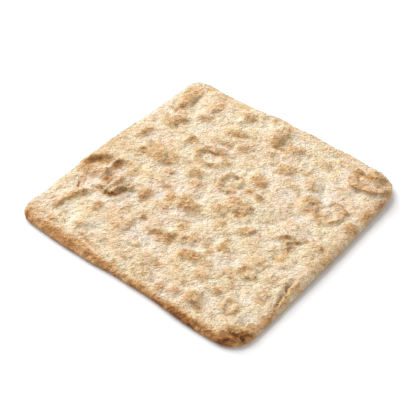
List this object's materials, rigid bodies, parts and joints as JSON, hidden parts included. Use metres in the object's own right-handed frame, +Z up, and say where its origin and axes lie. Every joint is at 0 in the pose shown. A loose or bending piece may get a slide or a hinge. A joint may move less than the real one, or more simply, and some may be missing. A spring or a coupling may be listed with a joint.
{
  "type": "matzo sheet",
  "caption": "Square unleavened flatbread sheet with rounded corners, baked blisters and folds over its top, a browned rounded rim and a flat underside.",
  "frame": {"origin": "centre of the sheet's box, on the plane of its flat underside", "axes": "+Z up through the thin way of the sheet, +X and +Y along its sides, the curled corner at +X +Y"},
  "size_m": [0.175, 0.1746, 0.0108],
  "materials": {
    "baked_crust": "matte"
  },
  "bodies": {
    "root": {"matzo_sheet": "baked_crust"}
  },
  "joints": []
}
